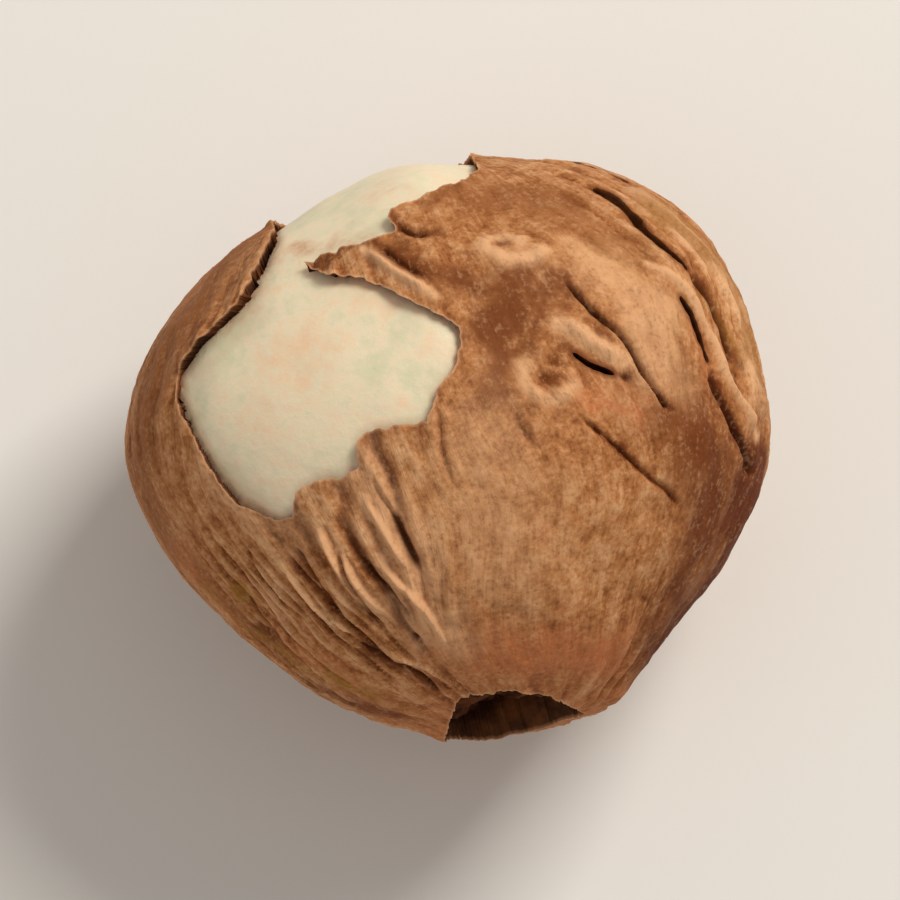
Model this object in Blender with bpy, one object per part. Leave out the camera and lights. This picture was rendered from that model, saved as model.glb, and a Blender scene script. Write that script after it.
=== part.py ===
"""A shelled hazelnut kernel in its papery skin, lying on its side on a small flat spot.

Directions are worked out in the seen frame, whose axes are right, up the picture and towards the viewer.
It is the world's frame tipped back until the viewer looks down on the kernel at VIEW_ELEVATION.
"""

import math

import bmesh
import bpy
import numpy as np
from mathutils import Vector, noise

MM = 0.001

# Driving dimensions
WIDTH = 14.7 * MM
HEIGHT_ABOVE_MIDDLE = 6.9 * MM
HEIGHT_BELOW_MIDDLE = 6.6 * MM
SKIN_THICKNESS = 0.2 * MM
FLAT_SPOT_RADIUS = 2.2 * MM
PLAIN_UNDERSIDE = 14.0  # degrees from straight down where wrinkles start
VIEW_ELEVATION = 80.0  # degrees

# Outline as seen: radius every 20 degrees anticlockwise from the right, as a share of half the width
OUTLINE = (
    1.00, 1.01, 1.035, 0.99, 0.915, 0.92, 0.885, 0.92, 0.98,
    1.00, 0.93, 0.86, 0.85, 0.865, 0.90, 0.915, 0.885, 0.92,
)
BODY_POWER = 2.15  # 2 is an ellipsoid, and more is boxier

# The blunt end, and the hollow in it where the wrinkles meet
BASE_BEARING = -74.0  # degrees in the picture
BASE_TOWARDS_VIEWER = 0.12
HOLLOW_DEPTH = 1.0 * MM
HOLLOW_ANGLE = 13.0  # degrees from the middle of the base to the hollow's edge
RIM_HEIGHT = 0.16 * MM
RIM_WIDTH = 4.0  # degrees

# Wrinkles run from the blunt end to the tip. Columns of the grid stand on their crests and in their troughs.
COLUMNS = 104
FINE_WRINKLE = 0.05 * MM
DEEP_WRINKLE = 0.15 * MM
WRINKLE_WANDER = 0.16  # radians round the kernel
WIDE_LUMP_HEIGHT = 0.16 * MM
SMALL_LUMP_HEIGHT = 0.09 * MM
# Where the wrinkles are deepest and where the skin is smooth: x, y and reach as seen, mm, and strength
WRINKLE_AREAS = (
    (-3.3, -3.6, 2.6, 0.9), (-0.6, -3.2, 1.6, 0.6), (5.2, 2.6, 1.4, 0.4), (2.0, -1.8, 2.4, -0.4),
    (-0.8, 4.4, 1.6, -0.8), (1.4, 3.4, 1.4, -0.5),
)

# Bare patch: the torn edge of the skin as seen, x and y in mm, anticlockwise from the tip of the upper arm
BARE_SEEN = (
    (0.6, 6.3), (0.2, 6.0), (-0.7, 5.65), (-1.35, 5.35), (-1.25, 4.95), (-1.7, 4.7), (-2.75, 4.4),
    (-3.3, 4.2), (-2.75, 3.9), (-1.9, 3.85), (-1.2, 3.5), (-0.15, 3.0), (0.2, 2.75), (0.25, 2.3),
    (0.1, 1.8), (-0.3, 1.35), (-0.5, 0.6), (-1.1, 0.55), (-1.9, 0.4), (-2.1, 0.2), (-2.1, -0.4),
    (-2.45, -0.65), (-3.05, -0.7), (-3.45, -0.95), (-3.5, -1.5), (-3.95, -1.6), (-4.7, -1.2),
    (-5.15, -0.7), (-5.8, 0.55), (-6.1, 1.2), (-6.1, 1.65), (-5.15, 2.8), (-4.6, 3.4), (-4.2, 4.25),
    (-3.9, 4.85),
)
# The same edge over the far side of the kernel: bearing, and degrees from the line of sight
BARE_FAR_SIDE = ((126.0, 97.0), (116.0, 108.0), (106.0, 104.0), (99.0, 109.0), (90.0, 100.0), (84.0, 92.0))
# A chip of skin gone from the underside, in bearing and degrees from the line of sight
CHIP = (
    (8.0, 118.0), (14.0, 123.0), (11.0, 130.0), (16.0, 137.0), (8.0, 143.0), (-3.0, 139.0), (-6.0, 129.0),
    (0.0, 124.0),
)

# Creases as seen: depth and lip height in mm, then points x, y in mm. The lip stands on the left of the path.
CREASES = (
    (0.42, 0.16, (3.1, 6.0), (4.0, 5.4), (4.7, 4.7), (5.3, 4.05), (5.9, 3.1), (6.2, 2.45)),
    (0.30, 0.10, (5.05, 3.35), (5.45, 2.85), (5.8, 2.1), (5.95, 1.35), (6.3, 0.6), (6.7, -0.2)),
    (0.16, 0.18, (2.2, 4.0), (2.8, 3.3), (3.2, 2.85), (3.8, 2.4), (4.1, 1.8), (4.45, 1.3), (4.9, 0.85)),
    (0.20, 0.05, (2.7, 2.1), (3.15, 1.85), (3.6, 1.7)),
    (0.16, 0.05, (3.0, 0.6), (3.7, 0.05), (4.3, -0.5), (4.9, -0.95)),
    (0.14, 0.04, (-0.3, 1.2), (-0.15, -0.15), (0.15, -1.0)),
    (0.20, 0.08, (-1.8, -0.7), (-1.3, -1.6), (-0.7, -2.65)),
    (0.22, 0.10, (-1.85, -4.3), (-0.65, -5.05), (0.1, -5.7)),
)
# Creases out of sight, in bearing and degrees from the line of sight
FAR_CREASES = (
    (0.30, 0.14, (222.0, 96.0), (214.0, 112.0), (203.0, 126.0), (186.0, 138.0)),
    (0.26, 0.10, (62.0, 104.0), (52.0, 120.0), (36.0, 133.0)),
    (0.24, 0.10, (132.0, 118.0), (140.0, 132.0), (158.0, 146.0)),
    (0.22, 0.10, (300.0, 112.0), (312.0, 128.0), (330.0, 142.0)),
)
LIFTED_EDGE = (0.22, (-6.2, 1.7), (-5.2, 2.85), (-4.65, 3.45), (-3.9, 5.0))  # lift in mm, then points as seen
# Low mounds and dips: x, y, reach and height, mm as seen
MOUNDS = (
    (1.2, 4.3, 0.8, 0.14), (1.2, 2.4, 1.0, -0.20), (3.9, 3.4, 1.1, 0.12), (-0.5, 3.6, 0.5, 0.10),
    (2.3, 1.5, 0.7, 0.10), (-4.1, -4.0, 0.5, -0.15),
)

# Colours, linear
SKIN_COLOUR = (0.38, 0.19, 0.10, 1.0)
FLESH_COLOUR = (0.72, 0.57, 0.36, 1.0)

# Mesh
RING_STEP = 4.0  # degrees
BASE_RINGS = (4.0, 8.0, 11.0, 14.0, 18.0, 23.0)
FINE_BAND = 0.3 * MM  # cells this near a tear or a crease are split
ON_PATH = 0.02 * MM
LIP_REACH = 0.8 * MM
CREASE_END = 0.7 * MM  # a crease runs out over this length

MEAN_RADIUS = WIDTH / 2


def clear_scene():
    for obj in list(bpy.data.objects):
        bpy.data.objects.remove(obj)


def unit(vectors):
    return vectors / np.linalg.norm(vectors, axis=-1, keepdims=True)


def smooth(value):
    value = np.clip(value, 0, 1)
    return value * value * (3 - 2 * value)


def outline_radius(bearing):
    """Radius of the outline at a bearing in radians: a closed Catmull-Rom curve through OUTLINE."""
    shares = np.array(OUTLINE)
    place = np.mod(bearing, 2 * np.pi) / (2 * np.pi) * len(shares)
    index = np.floor(place).astype(int)
    t = place - index
    before, start, end, after = (shares[(index + k) % len(shares)] for k in (-1, 0, 1, 2))
    slope = 2 * before - 5 * start + 4 * end - after
    bend = 3 * (start - end) + after - before
    return WIDTH / 2 * (start + 0.5 * t * ((end - before) + t * (slope + t * bend)))


def body_radius(directions):
    """Distance from the middle to the plain body's surface along each direction of the seen frame."""
    right, up, near = directions.T
    across = np.hypot(right, up) / outline_radius(np.arctan2(up, right))
    along = np.abs(near) / np.where(near > 0, HEIGHT_ABOVE_MIDDLE, HEIGHT_BELOW_MIDDLE)
    return (across**BODY_POWER + along**BODY_POWER) ** (-1 / BODY_POWER)


def direction_seen(x_mm, y_mm):
    """Direction of the surface point that shows at x, y."""
    rim = outline_radius(np.arctan2(y_mm, x_mm))
    share = min(math.hypot(x_mm, y_mm) * MM / rim, 0.999)
    near = HEIGHT_ABOVE_MIDDLE * (1 - share**BODY_POWER) ** (1 / BODY_POWER)
    return unit(np.array((x_mm * MM, y_mm * MM, near)))


def direction_far(bearing, from_sight):
    bearing, from_sight = math.radians(bearing), math.radians(from_sight)
    across = math.sin(from_sight)
    return np.array((across * math.cos(bearing), across * math.sin(bearing), math.cos(from_sight)))


def chart(directions):
    """Flat map of the surface, in metres, whose middle is the line of sight."""
    right, up, near = np.atleast_2d(directions).T
    across = np.maximum(np.hypot(right, up), 1e-9)
    reach = MEAN_RADIUS * np.arccos(np.clip(near, -1, 1)) / across
    return np.stack((right * reach, up * reach), axis=1)


def from_chart(points):
    reach = np.linalg.norm(points, axis=1)
    angle = reach / MEAN_RADIUS
    across = np.sin(angle) / np.maximum(reach, 1e-9)
    return np.stack((points[:, 0] * across, points[:, 1] * across, np.cos(angle)), axis=1)


class Path:
    """A line on the chart: the torn edge of a bare patch if it is closed, or else a crease."""

    def __init__(self, directions, closed):
        self.points = chart(np.array(directions))
        self.closed = closed

    def measure(self, spots):
        """For each spot: signed distance, nearest point, and distance from there to the path's nearer end."""
        starts = self.points if self.closed else self.points[:-1]
        ends = np.roll(self.points, -1, axis=0) if self.closed else self.points[1:]
        runs = ends - starts
        lengths = np.linalg.norm(runs, axis=1)
        offsets = spots[:, None] - starts
        share = np.clip((offsets * runs).sum(axis=2) / lengths**2, 0, 1)
        nearest = starts + share[..., None] * runs
        apart = np.linalg.norm(spots[:, None] - nearest, axis=2)
        pick = apart.argmin(axis=1)
        row = np.arange(len(spots))
        side = runs[pick, 0] * offsets[row, pick, 1] - runs[pick, 1] * offsets[row, pick, 0]
        if self.closed:
            sign = np.where(self.holds(spots, starts, runs), -1, 1)
        else:
            sign = np.where(side > 0, 1, -1)
        along = np.concatenate(((0,), lengths.cumsum()))[pick] + share[row, pick] * lengths[pick]
        to_end = np.minimum(along, lengths.sum() - along)
        return sign * apart[row, pick], nearest[row, pick], to_end

    @staticmethod
    def holds(spots, starts, runs):
        """True for each spot inside the closed path: a ray to the right crosses it an odd number of times."""
        rise = spots[:, None, 1] - starts[:, 1]
        level = np.where(runs[:, 1] == 0, 1e-12, runs[:, 1])
        share = rise / level
        crosses = (share >= 0) & (share < 1) & (starts[:, 0] + share * runs[:, 0] > spots[:, None, 0])
        return crosses.sum(axis=1) % 2 == 1


def base_frame():
    """The kernel's own axis, from its tip to its blunt end, and two directions square to it."""
    across = math.sqrt(1 - BASE_TOWARDS_VIEWER**2)
    bearing = math.radians(BASE_BEARING)
    axis = np.array((across * math.cos(bearing), across * math.sin(bearing), BASE_TOWARDS_VIEWER))
    side = unit(np.cross(axis, (0, 0, 1)))
    return axis, side, np.cross(side, axis)


def polar_angle(directions):
    """Degrees from the middle of the blunt end."""
    return np.degrees(np.arccos(np.clip(directions @ base_frame()[0], -1, 1)))


def columns_at(angle):
    """Fewer columns near the two ends, where wrinkles run together."""
    nearest_end = min(angle, 180 - angle)
    if nearest_end < 14:
        return COLUMNS // 4
    return COLUMNS // 2 if nearest_end < 36 else COLUMNS


def ring(mesh, crest, angle):
    axis, side, other = base_frame()
    count = columns_at(angle)
    made = []
    for column in range(count):
        turn = 2 * math.pi * column / count
        still = Vector((math.cos(turn), math.sin(turn), math.radians(angle)))
        turn += WRINKLE_WANDER * noise.noise(still * 1.6)
        polar = math.radians(angle)
        place = axis * math.cos(polar) + (side * math.cos(turn) + other * math.sin(turn)) * math.sin(polar)
        vert = mesh.verts.new(place)
        strength = 0.65 + noise.noise(Vector((1.7 * column, angle / 30, 5.0)))
        vert[crest] = strength if column % 2 else -strength
        made.append(vert)
    return made


def join_rings(mesh, lower, upper):
    """Faces between two rings, whose counts are equal or differ by a factor of two."""
    if len(lower) > len(upper):
        for k, top in enumerate(upper):
            next_top = upper[(k + 1) % len(upper)]
            low = [lower[(2 * k + step) % len(lower)] for step in range(3)]
            for corners in ((low[0], low[1], top), (low[1], next_top, top), (low[1], low[2], next_top)):
                mesh.faces.new(corners)
        return
    if len(lower) < len(upper):
        for k, low in enumerate(lower):
            next_low = lower[(k + 1) % len(lower)]
            top = [upper[(2 * k + step) % len(upper)] for step in range(3)]
            for corners in ((low, top[1], top[0]), (low, next_low, top[1]), (next_low, top[2], top[1])):
                mesh.faces.new(corners)
        return
    for k, low in enumerate(lower):
        after = (k + 1) % len(lower)
        mesh.faces.new((low, lower[after], upper[after], upper[k]))


def sphere_of_rings(mesh, crest):
    axis = base_frame()[0]
    plain = np.arange(BASE_RINGS[-1] + 5, 180, RING_STEP)
    rings = [ring(mesh, crest, angle) for angle in (*BASE_RINGS, *plain)]
    for lower, upper in zip(rings, rings[1:]):
        join_rings(mesh, lower, upper)
    for end, place, flip in ((rings[0], axis, True), (rings[-1], -axis, False)):
        pole = mesh.verts.new(place)
        for k, vert in enumerate(end):
            after = end[(k + 1) % len(end)]
            mesh.faces.new((after, vert, pole) if flip else (vert, after, pole))


def directions_of(mesh):
    return unit(np.array([vert.co[:] for vert in mesh.verts]))


def split_near(mesh, paths):
    """Splits the cells that a tear or a crease runs through, so that its line shows crisply."""
    mesh.verts.index_update()
    spots = chart(directions_of(mesh))
    close = np.zeros(len(spots), bool)
    for path in paths:
        close |= np.abs(path.measure(spots)[0]) < FINE_BAND
    edges = [edge for edge in mesh.edges if any(close[vert.index] for vert in edge.verts)]
    bmesh.ops.subdivide_edges(mesh, edges=edges, cuts=1, use_grid_fill=True)
    bmesh.ops.triangulate(mesh, faces=mesh.faces[:])
    for vert in mesh.verts:
        vert.co.normalize()


def pull_to_corners(mesh, path):
    """Moves the vertex nearest each corner of the path on to it."""
    spots = chart(directions_of(mesh))
    verts = list(mesh.verts)
    places = from_chart(path.points)
    for corner, place in zip(path.points, places):
        verts[np.linalg.norm(spots - corner, axis=1).argmin()].co = place


def pull_to(mesh, path):
    """Moves the vertices nearest the path on to it, and returns them."""
    mesh.verts.index_update()
    pull_to_corners(mesh, path)
    spots = chart(directions_of(mesh))
    apart, nearest, to_end = path.measure(spots)
    apart = np.where(np.abs(apart) < ON_PATH, 0, apart)
    inner = np.ones(len(spots), bool) if path.closed else to_end > 0
    pulled = set()
    for edge in mesh.edges:
        a, b = (vert.index for vert in edge.verts)
        if apart[a] * apart[b] > 0 or not (path.closed or (inner[a] and inner[b])):
            continue
        pulled.add(a if abs(apart[a]) < abs(apart[b]) else b)
    places = from_chart(nearest)
    verts = list(mesh.verts)
    for index in pulled:
        verts[index].co = places[index]
    return {verts[index] for index in pulled}


def turn_slivers(mesh, edge_verts):
    """Turns the long edge of each thin triangle whose three corners all lie on a torn edge."""
    for face in list(mesh.faces):
        if not face.is_valid or not all(vert in edge_verts for vert in face.verts):
            continue
        longest = max(face.edges, key=lambda edge: edge.calc_length())
        if face.calc_area() < 0.12 * longest.calc_length() ** 2:
            bmesh.utils.edge_rotate(longest)


def faces_inside(mesh, path):
    middles = unit(np.array([face.calc_center_median()[:] for face in mesh.faces]))
    inside = path.measure(chart(middles))[0] < 0
    return [face for face, held in zip(mesh.faces, inside) if held]


def wrinkle_height(directions, crest):
    """Wrinkles: deep where the photo shows them deep, patchy elsewhere."""
    spread = np.array([noise.noise(Vector(place) * 2.3) for place in directions])
    strength = 0.35 + 0.9 * spread
    for x_mm, y_mm, reach, amount in WRINKLE_AREAS:
        apart = np.linalg.norm(directions - direction_seen(x_mm, y_mm), axis=1) * MEAN_RADIUS
        strength = strength + amount * np.exp(-((apart / (reach * MM)) ** 2))
    angle = polar_angle(directions)
    strength = strength + 0.6 * np.exp(-(((angle - 28) / 15) ** 2))
    room = np.clip(np.sin(np.radians(angle)) / 0.45, 0.2, 1)
    return crest * room * (FINE_WRINKLE + (DEEP_WRINKLE - FINE_WRINKLE) * np.clip(strength, 0, 1))


def base_hollow(directions):
    ragged = np.array([noise.noise(Vector(place) * 6.0) for place in directions])
    edge = HOLLOW_ANGLE * (1 + 0.35 * ragged)
    angle = polar_angle(directions)
    dish = np.clip(1 - (angle / edge) ** 2, 0, 1)
    rim = (1 + 1.5 * ragged) * np.exp(-(((angle - edge - 1) / RIM_WIDTH) ** 2))
    return RIM_HEIGHT * rim - HOLLOW_DEPTH * smooth(dish)


def lumps(directions):
    wide = [noise.noise(Vector(place) * 1.3 + Vector((4.0, 1.0, 2.0))) for place in directions]
    small = [noise.noise(Vector(place) * 4.5) for place in directions]
    height = WIDE_LUMP_HEIGHT * np.array(wide) + SMALL_LUMP_HEIGHT * np.array(small)
    for x_mm, y_mm, reach, amount in MOUNDS:
        apart = np.linalg.norm(directions - direction_seen(x_mm, y_mm), axis=1) * MEAN_RADIUS
        height = height + amount * MM * np.exp(-((apart / (reach * MM)) ** 2))
    return height


def crease_height(spots, path, depth, lip):
    """A narrow groove that runs out at its ends, with a raised lip on its left."""
    apart, _, to_end = path.measure(spots)
    fade = smooth(to_end / CREASE_END)
    groove = -depth * (np.abs(apart) < ON_PATH)
    raised = np.where(apart > 0, lip, 0.25 * lip) * np.exp(-np.abs(apart) / LIP_REACH)
    return MM * fade * (groove + raised * (groove == 0))


def lifted_edge_height(spots):
    """The skin curls up along the left of the bare patch."""
    lift, *points = LIFTED_EDGE
    path = Path([direction_seen(*point) for point in points], closed=False)
    apart, _, to_end = path.measure(spots)
    return lift * MM * smooth(to_end / CREASE_END) * np.exp(-((apart / LIP_REACH) ** 2))


def crease_paths():
    seen = [(crease, direction_seen) for crease in CREASES]
    far = [(crease, direction_far) for crease in FAR_CREASES]
    made = []
    for (depth, lip, *points), place in seen + far:
        made.append((depth, lip, Path([place(*point) for point in points], closed=False)))
    return made


def bare_paths():
    patch = [direction_seen(*point) for point in BARE_SEEN]
    patch += [direction_far(*point) for point in BARE_FAR_SIDE]
    chip = [direction_far(*point) for point in CHIP]
    return [Path(patch, closed=True), Path(chip, closed=True)]


def to_world(points):
    """From the seen frame to the world's axes."""
    tip = math.radians(VIEW_ELEVATION)
    right, up, near = points.T
    return np.stack(
        (right, up * math.sin(tip) - near * math.cos(tip), up * math.cos(tip) + near * math.sin(tip)), axis=1
    )


def place_surface(mesh, crest, creases, flesh_verts):
    """Moves each vertex from the unit sphere out to the kernel's surface."""
    directions = directions_of(mesh)
    spots = chart(directions)
    radius = body_radius(directions) + lumps(directions)
    crests = np.array([vert[crest] for vert in mesh.verts])
    skin = wrinkle_height(directions, crests) + base_hollow(directions) + lifted_edge_height(spots)
    for depth, lip, path in creases:
        skin = skin + crease_height(spots, path, depth, lip)
    down = to_world(directions)[:, 2]
    skin = skin * smooth((np.degrees(np.arccos(np.clip(-down, -1, 1))) - PLAIN_UNDERSIDE) / PLAIN_UNDERSIDE)
    bare = np.array([vert in flesh_verts for vert in mesh.verts])
    radius = radius + np.where(bare, -SKIN_THICKNESS, skin)
    points = to_world(directions * radius[:, None])
    for vert, point in zip(mesh.verts, points):
        vert.co = point


def part_bare(mesh, faces):
    """Gives the bare faces vertices of their own, joined to the torn edge of the skin by a wall."""
    made = bmesh.ops.extrude_face_region(mesh, geom=faces)
    bmesh.ops.delete(mesh, geom=faces, context="FACES")
    return {item for item in made["geom"] if isinstance(item, bmesh.types.BMVert)}


def flatten_spot(mesh):
    """Cuts the lowest part off level, as wide as the flat spot."""
    lowest = min(vert.co.z for vert in mesh.verts)
    depth = WIDTH / 2 - math.sqrt((WIDTH / 2) ** 2 - FLAT_SPOT_RADIUS**2)
    for vert in mesh.verts:
        vert.co.z = max(vert.co.z, lowest + depth)


def centre(mesh):
    """Puts the middle of the box over the origin, with the flat spot on z = 0."""
    points = np.array([vert.co[:] for vert in mesh.verts])
    low, high = points.min(axis=0), points.max(axis=0)
    shift = Vector((-(low[0] + high[0]) / 2, -(low[1] + high[1]) / 2, -low[2]))
    bmesh.ops.translate(mesh, verts=mesh.verts[:], vec=shift)


def kernel_mesh():
    mesh = bmesh.new()
    crest = mesh.verts.layers.float.new("crest")
    sphere_of_rings(mesh, crest)
    creases = crease_paths()
    tears = bare_paths()
    split_near(mesh, tears + [path for _, _, path in creases])
    torn = set()
    for path in tears:
        torn |= pull_to(mesh, path)
    turn_slivers(mesh, torn)
    for _, _, path in creases:
        pull_to(mesh, path)
    bare = [face for path in tears for face in faces_inside(mesh, path)]
    for face in bare:
        face.material_index = 1
    place_surface(mesh, crest, creases, part_bare(mesh, bare))
    flatten_spot(mesh)
    centre(mesh)
    return mesh


def material(name, colour, roughness):
    made = bpy.data.materials.new(name)
    made.use_nodes = True
    shader = made.node_tree.nodes["Principled BSDF"]
    shader.inputs["Base Color"].default_value = colour
    shader.inputs["Roughness"].default_value = roughness
    shader.inputs["Metallic"].default_value = 0.0
    return made


def make_kernel():
    mesh = kernel_mesh()
    data = bpy.data.meshes.new("kernel")
    mesh.to_mesh(data)
    mesh.free()
    data.shade_smooth()
    data.set_sharp_from_angle(angle=math.radians(40))
    data.materials.append(material("papery_skin", SKIN_COLOUR, 0.62))
    data.materials.append(material("bare_flesh", FLESH_COLOUR, 0.5))
    kernel = bpy.data.objects.new("kernel", data)
    bpy.context.scene.collection.objects.link(kernel)
    return kernel


clear_scene()
make_kernel()
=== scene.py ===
import math

import bmesh
import bpy
import numpy as np
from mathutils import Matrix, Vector, noise


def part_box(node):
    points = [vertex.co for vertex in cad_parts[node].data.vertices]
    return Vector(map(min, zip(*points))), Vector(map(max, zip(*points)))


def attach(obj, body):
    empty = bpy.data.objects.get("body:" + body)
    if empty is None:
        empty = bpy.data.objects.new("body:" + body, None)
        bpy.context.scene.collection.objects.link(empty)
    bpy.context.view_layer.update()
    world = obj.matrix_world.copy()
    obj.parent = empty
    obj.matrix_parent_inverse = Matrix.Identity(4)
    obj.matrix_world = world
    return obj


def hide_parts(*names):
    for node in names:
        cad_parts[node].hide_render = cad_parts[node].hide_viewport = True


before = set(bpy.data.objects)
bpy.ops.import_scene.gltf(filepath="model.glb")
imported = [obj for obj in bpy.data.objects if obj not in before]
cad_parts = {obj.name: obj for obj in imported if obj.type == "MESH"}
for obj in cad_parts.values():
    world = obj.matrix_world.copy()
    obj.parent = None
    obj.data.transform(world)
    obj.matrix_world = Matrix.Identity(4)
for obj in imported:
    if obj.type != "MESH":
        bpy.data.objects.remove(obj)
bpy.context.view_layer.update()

mm = 0.001
farAway = 1.0  # metres, for what is nowhere near
tiny = 1e-9  # keeps a division off zero
bodyShareOfBox = 0.993  # the wrinkles take up the rest of the solid's box
kernelLow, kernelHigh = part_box("kernel")
print("frame loaded, kernel", round((kernelHigh.x - kernelLow.x) / mm, 2), "mm wide")


# the body under the skin. Places on it are x and y in mm as the kernel is seen by the camera, or,
# round the back, a bearing and an angle away from the line of sight, both in degrees
body = dict(
    width=(kernelHigh.x - kernelLow.x) * bodyShareOfBox, roomInBox=0.998,
    above=6.9 * mm, below=6.6 * mm,  # from the middle to the top and to the underside
    outline=(  # radius every 20 degrees, as a share of half the width
        1, 1.01, 1.035, 0.99, 0.915, 0.92, 0.885, 0.92, 0.98,
        1, 0.93, 0.86, 0.85, 0.865, 0.9, 0.915, 0.885, 0.92,
    ),
    power=2.15,
    viewElevation=80, plainUnderside=14,  # degrees, the second from straight down
    flatSpot=2.2 * mm,
    baseBearing=-74, baseTowardsViewer=0.12,
    wideLumps=(0.16 * mm, 1.3), smallLumps=(0.09 * mm, 4.5),  # height and noise scale
    mounds=(  # x, y, reach, height in mm
        (1.2, 4.3, 0.8, 0.14), (1.2, 2.4, 1, -0.2), (3.9, 3.4, 1.1, 0.12), (-0.5, 3.6, 0.5, 0.1),
        (2.3, 1.5, 0.7, 0.1), (-4.1, -4, 0.5, -0.15), (2, 4.5, 0.4, 0.1), (2, 1.6, 0.35, -0.1),
    ),
)
meanRadius = body["width"] / 2

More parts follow.
